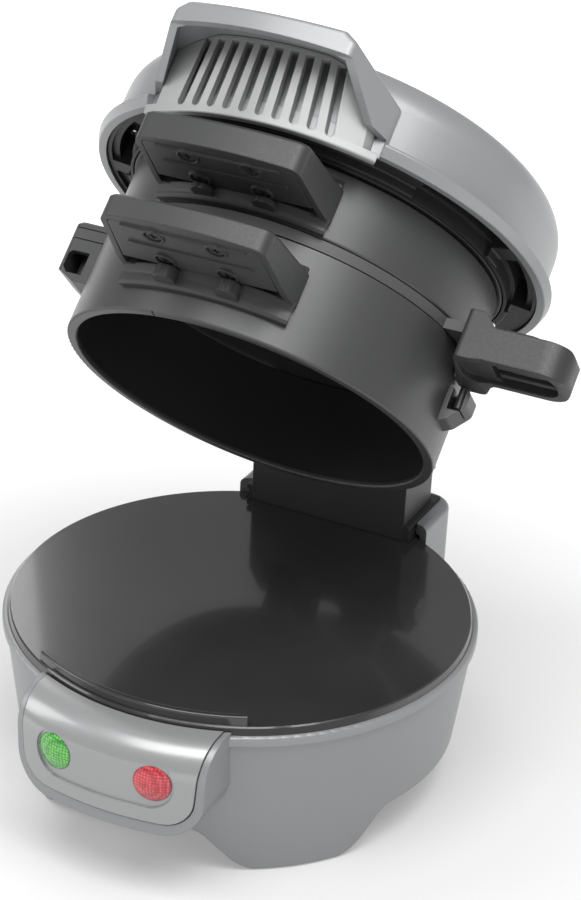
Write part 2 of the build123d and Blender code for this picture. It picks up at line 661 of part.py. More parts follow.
def hinge_tower():
    foot = COVER_TOP
    body = upright(tower_plan(0), foot, TOWER_SEAT)
    body -= block(-TOWER_HALF + TOWER_WALL, TOWER_HALF - TOWER_WALL, TOWER_FRONT + TOWER_WALL,
                  TOWER_REAR - TOWER_WALL, foot - 1, TOWER_SEAT - 5)
    slope = [(TOWER_REAR - REAR_CHAMFER, TOWER_SEAT, 0), (TOWER_REAR, TOWER_SEAT - REAR_CHAMFER, 0),
             (TOWER_REAR + 5, TOWER_SEAT - REAR_CHAMFER, 0), (TOWER_REAR + 5, TOWER_SEAT + 5, 0)]
    inner = TOWER_HALF - CHEEK_T
    body += block(-inner, inner, TOWER_REAR - 10, TOWER_REAR - TOWER_WALL + 0.5,
                  TOWER_SEAT - REAR_CHAMFER - 5, TOWER_SEAT)
    body -= sideways(slope, -inner, inner)
    cheek = [(TOWER_FRONT, TOWER_SEAT - 5.5, 0), (TOWER_FRONT, TOWER_SEAT + 4.5, 5),
             (HINGE_Y - CHEEK_R, CHEEK_TOP, 6), (TOWER_REAR, CHEEK_TOP, CHEEK_R),
             (TOWER_REAR, TOWER_SEAT - 5.5, 0)]
    for x0, x1 in ((-TOWER_HALF, -inner), (inner, TOWER_HALF)):
        body += sideways(cheek, x0, x1)
    for x in (-POST_X, POST_X):
        body += disc(POST_R, foot, TOWER_SEAT - 4, x, POST_Y)
        body -= disc(SCREW_R, foot - 1, foot + 13, x, POST_Y)
    return body - crossbar(PIN_R + 0.05, -40, 40, HINGE_Y, HINGE_Z)


def tower_collar():
    """Soft ribbed collar round three sides of the tower where it leaves the column."""
    def wrap(grow, z0, z1):
        return upright([(-TOWER_HALF - grow, TOWER_FRONT, 0), (TOWER_HALF + grow, TOWER_FRONT, 0),
                        (TOWER_HALF + grow, TOWER_REAR + grow, 0),
                        (-TOWER_HALF - grow, TOWER_REAR + grow, 0)], z0, z1)
    collar = wrap(COLLAR_T, COLLAR_BOTTOM, COLLAR_TOP)
    for k in range(2):
        z = COLUMN_TOP - 4.2 + 2.4 * k
        collar -= wrap(COLLAR_T + 1, z, z + 1.0) - wrap(COLLAR_T - 0.6, z, z + 1.0)
    collar -= block(-TOWER_HALF, TOWER_HALF, TOWER_FRONT - 10, TOWER_REAR - 3.2, 0, TALL)
    collar -= upright(tower_plan(0), 0, TALL)
    return collar


def hinge_pin():
    end = TOWER_HALF + 2.4
    pin = crossbar(PIN_R, -end, TOWER_HALF, HINGE_Y, HINGE_Z)
    head = crossbar(PIN_R + 1.6, TOWER_HALF, TOWER_HALF + 1.6, HINGE_Y, HINGE_Z)
    groove = crossbar(PIN_R + 1, -end + 0.8, -end + 1.6, HINGE_Y, HINGE_Z)
    return pin + fillet(head.edges().group_by(Axis.X)[-1], 0.6) - (
        groove - crossbar(PIN_R - 0.5, -end, -end + 3, HINGE_Y, HINGE_Z))


def hinge_pin_clip():
    end = TOWER_HALF + 2.4
    ring = crossbar(PIN_R + 1.8, -end + 0.8, -end + 1.6, HINGE_Y, HINGE_Z)
    ring -= crossbar(PIN_R - 0.5, -end, -end + 3, HINGE_Y, HINGE_Z)
    return ring - block(-end, -end + 3, HINGE_Y - 1.2, HINGE_Y + 1.2, HINGE_Z - 8, HINGE_Z)


# ---- rings ----
def hinge_arm(profile, x0, x1):
    """Arm from a ring to its knuckle on the pin, without the bore."""
    arm = sideways(profile, x0, x1) - disc(RING_R - 1.0, 0, TALL)
    return arm + crossbar(KNUCKLE_R, x0, x1, HINGE_Y, HINGE_Z)


def arms_of(profile, x_in):
    pair = [hinge_arm(profile, x_in, x_in + ARM_T), hinge_arm(profile, -x_in - ARM_T, -x_in)]
    return pair[0] + pair[1]


def ring_body(z0, z1):
    shell = turned([(RING_R, z0, 0.6), (RING_R, z1, 0.3), (RING_R - RING_WALL, z1, 0),
                    (RING_R - RING_WALL, z0 + RING_LIP_T, 0),
                    (RING_R - RING_WALL - LINER_T - 0.1, z0 + RING_LIP_T, 0),
                    (RING_R - RING_WALL - LINER_T - 0.1, z0, 0.5)])
    return shell


def ring_liner(z0, z1):
    outer = RING_R - RING_WALL
    return tube(outer, outer - LINER_T, z0 + RING_LIP_T, z1)





def radial(azimuth, z):
    """Placement on the axis at height z, +Z pointing out along the azimuth."""
    return Pos(0, 0, z) * Rot(0, 0, azimuth) * Rot(90, 0, 0)


def ear_plan():
    return [(-EAR_X, EAR_Y - EAR_HALF, 3), (8.7 - RING_R, EAR_Y - EAR_HALF, 0),
            (8.7 - RING_R, EAR_Y + EAR_HALF, 0), (-EAR_X, EAR_Y + EAR_HALF, 3)]


def mount_screw_holes(z):
    """Holes and countersinks for the two screws from inside the ring into its handle."""
    holes = []
    for azimuth in (-MOUNT_SCREW_AZIMUTH, MOUNT_SCREW_AZIMUTH):
        holes.append(radial(azimuth, z) * Pos(0, 0, RING_R) * Cylinder(SCREW_R, 12))
        holes.append(radial(azimuth, z) * Pos(0, 0, RING_R - RING_WALL) * Cylinder(3.2, 2.4))
    return holes


def lower_ring():
    ring = ring_body(LOW_RING_BOTTOM, LOW_RING_TOP)
    low, high = LOW_RING_TOP - 7.9, LOW_RING_TOP - 0.2
    arm = [(RING_R - 8.7, low, 0), (RING_R + 7.3, low, 2), (HINGE_Y + 2, HINGE_Z - 5.7, 0),
           (HINGE_Y, HINGE_Z + 5.9, 0), (HINGE_Y - 7.5, HINGE_Z + 4.3, 3), (RING_R + 3.3, high, 2),
           (RING_R - 8.7, high, 0)]
    ring += arms_of(arm, LOW_ARM_X)
    ring -= crossbar(PIN_R + RUN_CLEAR, -40, 40, HINGE_Y, HINGE_Z)
    # left ear: pocket for the pivot pin, open upward, with a window in front
    ear = upright(ear_plan(), EAR_BOTTOM, LOW_RING_TOP)
    ear -= frontal([(-EAR_X - 5, EAR_BOTTOM - 5, 0), (-EAR_X + 7, EAR_BOTTOM - 5, 0),
                    (-EAR_X + 7, EAR_BOTTOM, 1), (-EAR_X, EAR_BOTTOM + 3.5, 1),
                    (-EAR_X - 5, EAR_BOTTOM + 3.5, 0)], -50, 50)
    ear -= disc(RING_R - 1, 0, TALL)
    pocket = block(2.2 - EAR_X, PIVOT_X + 3.8, EAR_Y - EAR_HALF + 2.4, EAR_Y + 4.4,
                   EAR_BOTTOM + 2.5, LOW_RING_TOP + 1)
    window = frontal([(2.2 - EAR_X, LOW_RING_TOP - 4.0, 2), (2.2 - EAR_X, EAR_BOTTOM + 4.4, 1),
                      (PIVOT_X - 1.5, EAR_BOTTOM + 2.5, 1), (PIVOT_X + 3.8, EAR_BOTTOM + 2.5, 0),
                      (PIVOT_X + 3.8, LOW_RING_TOP - 4.0, 0)], EAR_Y - EAR_HALF - 1, EAR_Y)
    ring += ear - pocket - window
    # right ear: slot for the catch pin, open upward and forward
    outer = CATCH_X + CATCH_SLOT_HALF + 1.3
    catch = frontal([(RING_R - 8, CATCH_TOP, 0), (outer, CATCH_TOP, 1.2), (outer, CATCH_TOP - 5, 3),
                     (outer - 4.2, CATCH_TOP - 9.8, 2), (RING_R - 3, CATCH_TOP - 12.5, 0),
                     (RING_R - 8, CATCH_TOP - 12.5, 0)], *CATCH_EAR_Y)
    catch -= disc(RING_R - 1, 0, TALL)
    catch -= block(CATCH_X - CATCH_SLOT_HALF, CATCH_X + CATCH_SLOT_HALF, CATCH_EAR_Y[0] - 5,
                   CATCH_Y + CATCH_R + 1.2, CATCH_TOP - CATCH_SLOT_DEEP, TALL) - disc(RING_R, 0, TALL)
    ring += catch
    for hole in mount_screw_holes(LOW_HANDLE[6]):
        ring -= hole
    notch_x, notch_y = on_azimuth(RING_R - 1.6, -12)
    return ring - Pos(notch_x, notch_y, LOW_RING_BOTTOM) * Box(0.5, 3.4, 0.8)


def upper_ring():
    ring = ring_body(UP_RING_BOTTOM, UP_RING_TOP)
    low, high = UP_RING_BOTTOM + 0.1, UP_RING_BOTTOM + 8.7
    arm = [(RING_R - 8.7, low, 0), (RING_R + 1.3, low, 0), (HINGE_Y - 1.5, HINGE_Z - 5.8, 0),
           (HINGE_Y + 0.5, HINGE_Z + 5.9, 0), (RING_R + 3.3, high, 2), (RING_R - 8.7, high, 0)]
    ring += arms_of(arm, UP_ARM_X)
    ring -= crossbar(PIN_R + RUN_CLEAR, -40, 40, HINGE_Y, HINGE_Z)
    cap = upright(ear_plan(), UP_RING_BOTTOM, CAP_TOP)
    cap = chamfer(cap.edges().group_by(Axis.Z)[-1].filter_by(lambda e: e.center().X < -RING_R - 1), 1.0)
    cap -= disc(RING_R - 1, 0, TALL)
    ring += cap
    ring -= disc(PIVOT_R, 0, TALL, PIVOT_X, EAR_Y)
    for hole in mount_screw_holes(UP_HANDLE[6]):
        ring -= hole
    return ring


# ---- ring handles ----
def cover_top(low, root_low, y):
    """Height of the inner side of the underside cover at a depth y."""
    share = (y + GRIP_FRONT + 3) / (GRIP_FRONT + 3 - GRIP_ROOT)
    return low + (root_low - low) * share + COVER_PLATE_T


def handle_plan(front, root, rear, front_y, rounding):
    return upright([(-front, -front_y, rounding), (front, -front_y, rounding), (root, -rear, 0),
                    (-root, -rear, 0)], 0, TALL)


def ring_handle(low, root_low, high, root_high, foot, top, screw_z):
    """Handle moulding: grip open underneath, front band, and a flange on the ring wall."""
    far, near = -GRIP_FRONT - 3, 9 - RING_R
    side = sideways([(far, low, 0), (-GRIP_ROOT, root_low, 0), (near, root_low, 0),
                     (near, root_high, 0), (far, high, 0)], -40, 40)
    half, root = GRIP_HALF, GRIP_ROOT_HALF
    bow_r = (half ** 2 + GRIP_BOW ** 2) / (2 * GRIP_BOW)
    front = disc(bow_r, 0, TALL, 0, bow_r - GRIP_FRONT - GRIP_BOW * 0.6)
    grip = side & handle_plan(half, root, RING_R - 4.7, GRIP_FRONT + 3, 0) & front
    corners = grip.edges().filter_by(lambda e: abs(e.center().X) > half - 0.8
                                     and e.center().Y < -GRIP_FRONT + 4
                                     and e.bounding_box().size.Z > 4)
    grip = fillet(corners, 4.0)
    grip = chamfer(grip.edges().filter_by(
        lambda e: e.center().Y < -GRIP_FRONT + 1 and e.center().Z > high - 1
        and e.bounding_box().size.X > 30), 0.8)
    wall = GRIP_WALL
    hollow = handle_plan(half - wall, root - wall - 0.4, RING_R - 0.5, GRIP_FRONT - wall - 0.4, 2)
    ceiling = sideways([(far, low - 20, 0), (near, low - 20, 0), (near, root_high - wall, 0),
                        (far, high - wall, 0)], -40, 40)
    above_cover = sideways([(far, low + COVER_PLATE_T, 0), (-GRIP_ROOT, root_low + COVER_PLATE_T, 0),
                            (-GRIP_ROOT, high + 10, 0), (far, high + 10, 0)], -40, 40)
    grip -= hollow & ceiling
    # flange on the ring, with a sloped shoulder up to the underside and two ribs below it
    az = degrees(asin(MOUNT_HALF / (RING_R + MOUNT_T)))
    face = RING_R + MOUNT_T
    mount = turned([(RING_R - 1, foot, 0), (face - 0.6, foot, 0), (face, foot + 0.8, 0.2),
                    (face, root_low - 1.8, 2), (GRIP_ROOT + 0.6, root_low + 0.8, 0),
                    (face, root_low + 0.8, 0), (face, top - 1.6, 0.6), (face - 0.9, top, 0.4),
                    (RING_R - 1, top, 0)])
    mount &= sector(RING_R - 2, RING_R + 9, -az, az, foot - 1, top + 1)
    mount = fillet(mount.edges().filter_by(lambda e: abs(e.center().X) > MOUNT_HALF - 2.2
                                           and e.center().Z > top - 1.3
                                           and e.bounding_box().size.Z < 0.1), 0.6)
    grip += mount
    column_top = cover_top(low, root_low, -BOSS_Y[1]) - COVER_PLATE_T - BOSS_PROUD - 0.15
    for x in (-BOSS_X, BOSS_X):
        grip += disc(BOSS_R, foot + 1.2, column_top, x, -face - 0.6)
        for y in BOSS_Y:
            grip += disc(BOSS_R - 0.9, low - 10, high + 10, x, -y) & ceiling & above_cover
            grip -= disc(SCREW_R * 0.8, low - 10, cover_top(low, root_low, -y) + 5.2, x, -y)
    for azimuth in (-MOUNT_SCREW_AZIMUTH, MOUNT_SCREW_AZIMUTH):
        grip += radial(azimuth, screw_z) * Pos(0, 0, RING_R + MOUNT_T + 1.4) * Cylinder(3.2, 3.2)
        grip -= radial(azimuth, screw_z) * Pos(0, 0, RING_R) * Cylinder(SCREW_R, 13)
    return grip - disc(RING_R, 0, TALL)


def ring_handle_cover(low, root_low):
    """Ribbed plate that closes the handle from below, with four recessed screw bosses."""
    wall = GRIP_WALL + 0.12
    rear = GRIP_ROOT + 0.9
    far = -GRIP_FRONT - 3
    slab = sideways([(far, low, 0), (-GRIP_ROOT, root_low, 0),
                     (-GRIP_ROOT, root_low + COVER_PLATE_T, 0), (far, low + COVER_PLATE_T, 0)], -40, 40)
    cover = slab & handle_plan(GRIP_HALF - wall, GRIP_ROOT_HALF - wall - 1.0, rear,
                               GRIP_FRONT - wall - 0.4, 2)
    for y in (GRIP_FRONT - 3.6, GRIP_FRONT - 11.6):
        base = cover_top(low, root_low, -y) - COVER_PLATE_T
        cover += block(-GRIP_HALF + 6, GRIP_HALF - 6, -y - 0.5, -y + 0.5, base - 0.6, base + 0.4)
    for x in (-BOSS_X, BOSS_X):
        for y in BOSS_Y:
            top = cover_top(low, root_low, -y)
            foot = top - COVER_PLATE_T - BOSS_PROUD
            cover += disc(BOSS_R, foot, top - 0.5, x, -y)
            cover -= disc(BOSS_R - 0.7, foot - 20, foot + 1.6, x, -y)
            cover -= disc(SCREW_R * 0.8, 0, TALL, x, -y)
    return cover


def ring_handle_screws(low, root_low):
    screws = []
    for x in (-BOSS_X, BOSS_X):
        for y in BOSS_Y:
            top = cover_top(low, root_low, -y)
            seat = top - COVER_PLATE_T - BOSS_PROUD + 1.6
            screws.append(Pos(x, -y, seat - 1.2) * screw(top + 5.0 - seat + 1.2, BOSS_R - 1.0, 1.2,
                                                         SCREW_R * 0.8))
    return Compound(children=screws)


def mount_screws(z):
    screws = []
    for azimuth in (-MOUNT_SCREW_AZIMUTH, MOUNT_SCREW_AZIMUTH):
        screws.append(radial(azimuth, z) * Pos(0, 0, RING_R - RING_WALL) * flat_screw(6.2))
    return Compound(children=screws)


def flat_screw(length):
    """Flat-headed screw lying in a shallow recess, covered by the liner."""
    shank = Pos(0, 0, 1.2 + length / 2) * Cylinder(SCREW_R, length)
    return Pos(0, 0, 0.6) * Cylinder(3.0, 1.2) + shank


# ---- cooking plate ----
def cooking_plate():
    bottom, top = COOK_BOTTOM, COOK_BOTTOM + COOK_T
    plate = disc(COOK_R, bottom, top)
    plate -= disc(RING_BORE_R - COOK_RIM, top - 0.7, top + 1)
    plate += upright(ear_plan(), bottom, top) - disc(RING_R - 8, 0, TALL)
    plate += block(RING_R - 8, HUB_X + 3.0, EAR_Y - TAB_HALF, EAR_Y + TAB_HALF, bottom,
                   top) - disc(RING_R - 8, 0, TALL)
    plate -= disc(PIVOT_R + RUN_CLEAR, 0, TALL, PIVOT_X, EAR_Y)
    for y in HUB_SCREW_Y:
        plate -= disc(SCREW_R, 0, TALL, HUB_X, y)
    return plate


def plate_pivot_pin():
    pin = disc(PIVOT_R, EAR_BOTTOM + 4.5, CAP_TOP, PIVOT_X, EAR_Y)
    pin = chamfer(pin.edges().group_by(Axis.Z)[0], 0.5)
    return pin + disc(PIVOT_R + 1.2, CAP_TOP, CAP_TOP + 0.9, PIVOT_X, EAR_Y)


def plate_handle():
    """Hub over the tab of the plate, flat blade to the right, and a tongue with the catch pin."""
    y0, y1 = BLADE_Y
    front = frontal([(HUB_INNER - 2, HUB_Z[1], 0), (HUB_X + 2.2, HUB_Z[1], 3),
                     (HUB_X + 5.6, BLADE_Z[1], 3), (BLADE_TIP, BLADE_Z[1], 2.2),
                     (BLADE_TIP, BLADE_Z[0], 2.2), (HUB_X + 5, BLADE_Z[0], 3),
                     (HUB_X + 1.5, HUB_Z[0], 1), (HUB_INNER - 2, HUB_Z[0], 0)], y0 - 1, HUB_REAR + 1)
    shape = front & upright([(HUB_INNER, -6, 20), (HUB_INNER + 2.8, y0, 1.6), (BLADE_TIP, y0, 8.2),
                             (BLADE_TIP, y1, 8.2), (HUB_X + 4.6, y1, 3), (HUB_X + 1.6, HUB_REAR, 3),
                             (HUB_INNER + 0.2, HUB_REAR, 2)], 0, TALL)
    recess = upright([(BLADE_IN, y0 + 2.2, 4), (BLADE_TIP - 3.4, y0 + 2.2, 6),
                      (BLADE_TIP - 3.4, y1 - 2.2, 6), (BLADE_IN, y1 - 2.2, 2)],
                     BLADE_Z[0] - 1, BLADE_Z[1] - 2.6)
    shape -= recess
    shape -= upright([(HUB_X - 3.4, y0 + 2.8, 5), (BLADE_TIP - 3.4, y0 + 2.2, 6),
                      (BLADE_TIP - 3.4, y1 - 2.2, 6), (HUB_X - 3.4, y1 - 2.2, 4)],
                     HUB_Z[0] - 1, HUB_Z[0] + 2.2)
    for y in (y0 + 6.6, y1 - 6.6):
        shape += block(BLADE_IN + 2, BLADE_TIP - 4, y - 1.0, y + 1.0, BLADE_Z[0] + 1.4, BLADE_Z[1] - 2)
    shape += block(BLADE_IN + 6, BLADE_TIP - 9, (y0 + y1) / 2 - 0.6, (y0 + y1) / 2 + 0.6,
                   BLADE_Z[0] + 2.2, BLADE_Z[1] - 2)
    tongue = upright([(CATCH_X - 3, -4, 0), (CATCH_X + 3, -4, 0), (CATCH_X + 3, CATCH_Y + 3, 2.5),
                      (CATCH_X - 3, CATCH_Y + 3, 2.5)], HUB_Z[0] + 0.8, HUB_Z[0] + 5.6)
    shape += tongue
    shape -= block(RING_R - 18, HUB_X + 3.0, EAR_Y - TAB_HALF, EAR_Y + TAB_HALF, COOK_BOTTOM,
                   COOK_BOTTOM + COOK_T)
    for y in HUB_SCREW_Y:
        shape -= disc(SCREW_R, COOK_BOTTOM - 6.2, TALL, HUB_X, y)
        shape -= disc(SCREW_HEAD_R, HUB_Z[1] - SCREW_HEAD_H, TALL, HUB_X, y)
    for x in pad_pegs():
        shape -= disc(PAD_PEG_R, BLADE_Z[1] - 2.8, TALL, x, (y0 + y1) / 2)
    return shape - disc(CATCH_R, 0, HUB_Z[0] + 4.6, CATCH_X, CATCH_Y)


def pad_pegs():
    return BLADE_PAD_IN + 3.5, BLADE_PAD_OUT - 3.5


def plate_handle_cover():
    """Thin pad let into the top of the blade on two pegs."""
    y0, y1 = BLADE_Y
    top = upright([(BLADE_PAD_IN, y0 + 1.2, 1), (BLADE_PAD_OUT, y0 + 1.2, 5),
                   (BLADE_PAD_OUT, y1 - 1.2, 5), (BLADE_PAD_IN, y1 - 1.2, 1)],
                  BLADE_Z[1], BLADE_Z[1] + 0.9)
    top = chamfer(top.edges().group_by(Axis.Z)[-1], 0.3)
    for x in pad_pegs():
        top += disc(PAD_PEG_R, BLADE_Z[1] - 2.2, BLADE_Z[1], x, (y0 + y1) / 2)
    return top


def plate_handle_screws():
    turn = Rot(180, 0, 0)
    return Compound(children=[Pos(HUB_X, y, HUB_Z[1]) * turn * screw(10) for y in HUB_SCREW_Y])


def catch_pin():
    pin = disc(CATCH_R, CATCH_TOP - 5.5, HUB_Z[0] + 4.6, CATCH_X, CATCH_Y)
    return chamfer(pin.edges().group_by(Axis.Z)[0], 0.5)


# ---- lid ----
def dome(radius, shoulder, corner, z0):
    """Drum with a rounded shoulder and a slightly domed top, from z0 up."""
    span = radius - corner
    slant = corner * sqrt(0.5)
    walls = Polyline((0, shoulder + LID_CROWN), (0, z0), (radius, z0), (radius, shoulder - corner))
    bend = ThreePointArc((radius, shoulder - corner),
                         (span + slant, shoulder - corner + slant), (span, shoulder))
    ball = (span ** 2 + LID_CROWN ** 2) / (2 * LID_CROWN)
    middle = shoulder + LID_CROWN - ball + sqrt(ball ** 2 - span ** 2 / 4)
    crown = ThreePointArc((span, shoulder), (span / 2, middle), (0, shoulder + LID_CROWN))
    return revolve(Plane.XZ * make_face([walls, bend, crown]), axis=Axis.Z)


def hood_volume(inset):
    """Plan of the hood: bowed front about the lid's axis, sides flaring to the rear."""
    front, rear = HOOD_HALF_FRONT - inset, HOOD_HALF_REAR - inset
    reach, back = HOOD_R + 3, LID_R - 25
    y0, y1 = 3.4 - HOOD_R, 9.6 - LID_R
    plan = [(-front, -reach, 0), (front, -reach, 0), (front, y0, 3), (rear, y1, 20), (rear, -back, 0),
            (-rear, -back, 0), (-rear, y1, 20), (-front, y0, 3)]
    return upright(plan, 100, 150) & disc(HOOD_R - inset, 100, 150)


def hood_hollow(clear):
    """Space under the hood, shrunk by a clearance, where the grille stands."""
    top = GRILLE_TOP + 0.2 - clear
    ceiling = frontal([(-60, 100, 0), (60, 100, 0), (60, top - 16, 0), (25.6, top - 2.4, 12),
                       (18, top, 12), (-18, top, 12), (-25.6, top - 2.4, 12), (-60, top - 16, 0)],
                      -120, -20)
    return hood_volume(HOOD_WALL + clear) & ceiling


def hood():
    low = RIM_BOTTOM + 0.1
    lip, back = 5.6 - HOOD_R, 25 - LID_R
    side = sideways([(-HOOD_R - 1, HOOD_LIP_Z, 0), (lip, HOOD_LIP_Z, 0), (9.6 - LID_R, low, 0),
                     (back, low, 0), (back, LID_SHOULDER + 2, 0), (10.6 - LID_R, LID_SHOULDER + 0.3, 12),
                     (-HOOD_R - 1, HOOD_TOP - 0.4, 0)], -60, 60)
    edge, half = HOOD_HALF_FRONT - 0.4, HOOD_HALF_REAR + 1.1
    roof = frontal([(-half, 100, 0), (half, 100, 0), (half, HOOD_TOP - 7.4, 4),
                    (edge, HOOD_TOP - 0.7, 25), (8, HOOD_TOP + 11.1, 0), (-8, HOOD_TOP + 11.1, 0),
                    (-edge, HOOD_TOP - 0.7, 25), (-half, HOOD_TOP - 7.4, 4)], -120, -20)
    body = hood_volume(0) & side & roof
    body = fillet(body.edges().filter_by(
        lambda e: 26.5 < abs(e.center().X) < 28.6 and e.center().Y < 5 - HOOD_R
        and e.bounding_box().size.Z > 2 and e.bounding_box().size.Y < 0.5), HOOD_CORNER)
    body = fillet(body.edges().filter_by(
        lambda e: abs(e.center().X) > 28.5 and e.center().Z > HOOD_TOP - 9
        and e.center().Y < -66 and e.bounding_box().size.Y > 8), HOOD_EDGE)
    body = fillet(body.edges().filter_by(
        lambda e: e.center().Z > HOOD_TOP - 3 and e.center().Y < 4 - HOOD_R
        and e.bounding_box().size.X > 20), HOOD_LIP_ROUND)
    return body - hood_hollow(0)


def lid_shell():
    outer = dome(LID_R, LID_SHOULDER, LID_CORNER, RIM_BOTTOM + 0.5)
    rim = turned([(60, RIM_BOTTOM, 0), (RIM_R, RIM_BOTTOM, 0.5), (CREASE_R, CREASE_Z, 0.8),
                  (LID_R + 0.6, CREASE_Z + 1.4, 0.6), (60, CREASE_Z + 1.4, 0)])
    shell = outer + rim + hood()
    front = sector(LID_R + 0.4, 90, -GRILLE_ANGLE - 0.6, GRILLE_ANGLE + 0.6, 100, CREASE_Z + 2)
    shell -= front
    inner = dome(LID_R - LID_T, LID_SHOULDER - LID_T, LID_CORNER - LID_T, CREASE_Z)
    shell -= inner
    shell -= turned([(0, 100, 0), (RIM_INNER, 100, 0), (RIM_INNER, CREASE_Z - 1.2, 0),
                     (LID_R - LID_T, CREASE_Z, 0), (0, CREASE_Z, 0)])
    solid_top = dome(LID_R - 1, LID_SHOULDER - 1, LID_CORNER - 1, RIM_BOTTOM)
    bosses = [(*on_azimuth(LID_SCREW_R, a), POCKET_TOP + POCKET_WALL) for a in LID_SCREW_AZIMUTHS]
    bosses += [(x, LEG_SCREW_Y, LID_ARM_TOP) for x in (-LEG_SCREW_X, LEG_SCREW_X)]
    for x, y, z in bosses:
        shell += disc(BOSS_R - 0.4, z, LID_SHOULDER, x, y) & solid_top
        shell -= disc(SCREW_R, z - 1, z + 8, x, y)
    for azimuth in (-GRILLE_PEG_AZIMUTH, GRILLE_PEG_AZIMUTH):
        shell -= radial(azimuth, GRILLE_PEG_Z) * Pos(0, 0, LID_R) * Cylinder(PEG_R + 0.05, 12)
    half = LID_ARM_HALF + GAP
    shell -= block(-half, half, 60, 90, RIM_BOTTOM - 1, LID_ARM_TOP + GAP)
    return shell


def lid_handle_grille():
    """Curved front insert under the hood, with a row of grooves that open at the top."""
    r0, r1 = GRILLE_R
    inner = LID_R + 0.5
    wall = turned([(inner, GRILLE_BOTTOM, 0), (r0 + 0.6, GRILLE_BOTTOM, 0.6), (r0 + 0.8, RIM_BOTTOM, 6),
                   (r1, GRILLE_TOP, 0), (r1 - GRILLE_T, GRILLE_TOP, 0),
                   (inner, CREASE_Z - 1.1, 3)])
    wall &= sector(50, 90, -GRILLE_ANGLE, GRILLE_ANGLE, GRILLE_BOTTOM - 1, GRILLE_TOP + 1)
    wall &= hood_hollow(0.2) + disc(90, 100, RIM_BOTTOM)
    reach = SLOT_COUNT / 2 - 0.5
    for k in range(SLOT_COUNT):
        low_x = (k - reach) * SLOT_PITCH_LOW
        top_x = (k - reach) * SLOT_PITCH_TOP
        lean = degrees(atan2(low_x - top_x, SLOT_TOP - SLOT_BOTTOM))
        half = SLOT_W / 2
        shape = [(-half, 0, half - 0.05), (half, 0, half - 0.05), (half, SLOT_TOP - SLOT_BOTTOM, 0.4),
                 (-half, SLOT_TOP - SLOT_BOTTOM, 0.4)]
        slot = Plane.XZ * (Pos(low_x, SLOT_BOTTOM) * Rot(0, 0, lean) * outline(shape))
        wall -= extrude(slot, amount=100)
    for azimuth in (-GRILLE_PEG_AZIMUTH, GRILLE_PEG_AZIMUTH):
        length = GRILLE_R[0] - LID_R + LID_T + 2.4
        middle = LID_R - LID_T - 1.2 + length / 2
        wall += radial(azimuth, GRILLE_PEG_Z) * Pos(0, 0, middle) * Cylinder(PEG_R, length)
    return wall


def grille_push_nuts():
    nuts = []
    for azimuth in (-GRILLE_PEG_AZIMUTH, GRILLE_PEG_AZIMUTH):
        spot = radial(azimuth, GRILLE_PEG_Z)
        face = (LID_R - LID_T) * cos(asin(3.0 / (LID_R - LID_T)))
        ring = spot * Pos(0, 0, face - 0.4) * (Cylinder(3.0, 0.8) - Cylinder(PEG_R, 2))
        nuts.append(ring)
    return Compound(children=nuts)


def lid_tray():
    """Heat-proof lining of the lid: flat annulus, collar round the plate, four screw pockets."""
    tray = turned([(TRAY_COLLAR_R, TOP_PLATE_Z + 0.3, 0.4), (TRAY_COLLAR_R, TRAY_Z, 0.6),
                   (RIM_INNER - 0.3, TRAY_Z, 0), (RIM_INNER - 0.3, CREASE_Z - 1.4, 0),
                   (LID_R - LID_T - 0.4, TRAY_Z + TRAY_T, 0), (TRAY_LEDGE_R, TRAY_Z + TRAY_T, 0),
                   (TRAY_LEDGE_R, TOP_PLATE_Z + TOP_PLATE_T, 0),
                   (TOP_PLATE_R + 0.4, TOP_PLATE_Z + TOP_PLATE_T, 0),
                   (TOP_PLATE_R + 0.4, TOP_PLATE_Z + 0.3, 0)])
    r_in, r_out = POCKET_R
    w = POCKET_WALL
    turn_w = degrees(w / r_in)
    for a0, a1 in POCKET_AZIMUTH:
        for side in (-1, 1):
            low, high = sorted((side * a0, side * a1))
            tray += sector(r_in - w, r_out + w, low - turn_w, high + turn_w, TRAY_Z, POCKET_TOP + w)
            tray -= sector(r_in, r_out, low, high, TRAY_Z - 5, POCKET_TOP)
            tray -= sector(*POCKET_MOUTH_R, low, high, TRAY_Z - 5, TRAY_Z + POCKET_MOUTH_H)
    for a in LID_SCREW_AZIMUTHS:
        tray -= disc(SCREW_R, 0, TALL, *on_azimuth(LID_SCREW_R, a))
    half = LID_ARM_HALF + GAP
    return tray - block(-half, half, TRAY_COLLAR_R + 2, 90, 100, 140)


def lid_screws():
    lift = POCKET_TOP - SCREW_HEAD_H
    return Compound(children=[Pos(*on_azimuth(LID_SCREW_R, a), lift) * screw(9.5, 1.9)
                              for a in LID_SCREW_AZIMUTHS])


def upper_heating_plate():
    top = TOP_PLATE_Z + TOP_PLATE_T
    plate = turned([(0, TOP_PLATE_Z, 0), (TOP_PLATE_R, TOP_PLATE_Z, 0.5), (TOP_PLATE_R, top, 0),
                    (0, top, 0)])
    plate += disc(TOP_BOSS_R, top, top + TOP_BOSS_T)
    for azimuth in STUD_AZIMUTHS:
        plate += disc(STUD_R, top + TOP_BOSS_T, TOP_STUD_END, *on_azimuth(TOP_STUD_PATH_R, azimuth))
    return plate


def upper_heating_element():
    top = TOP_PLATE_Z + TOP_PLATE_T + TOP_BOSS_T
    return heater(TOP_ELEMENT_PATH_R, ELEMENT_R, top + ELEMENT_R, TOP_STUD_END + 3)


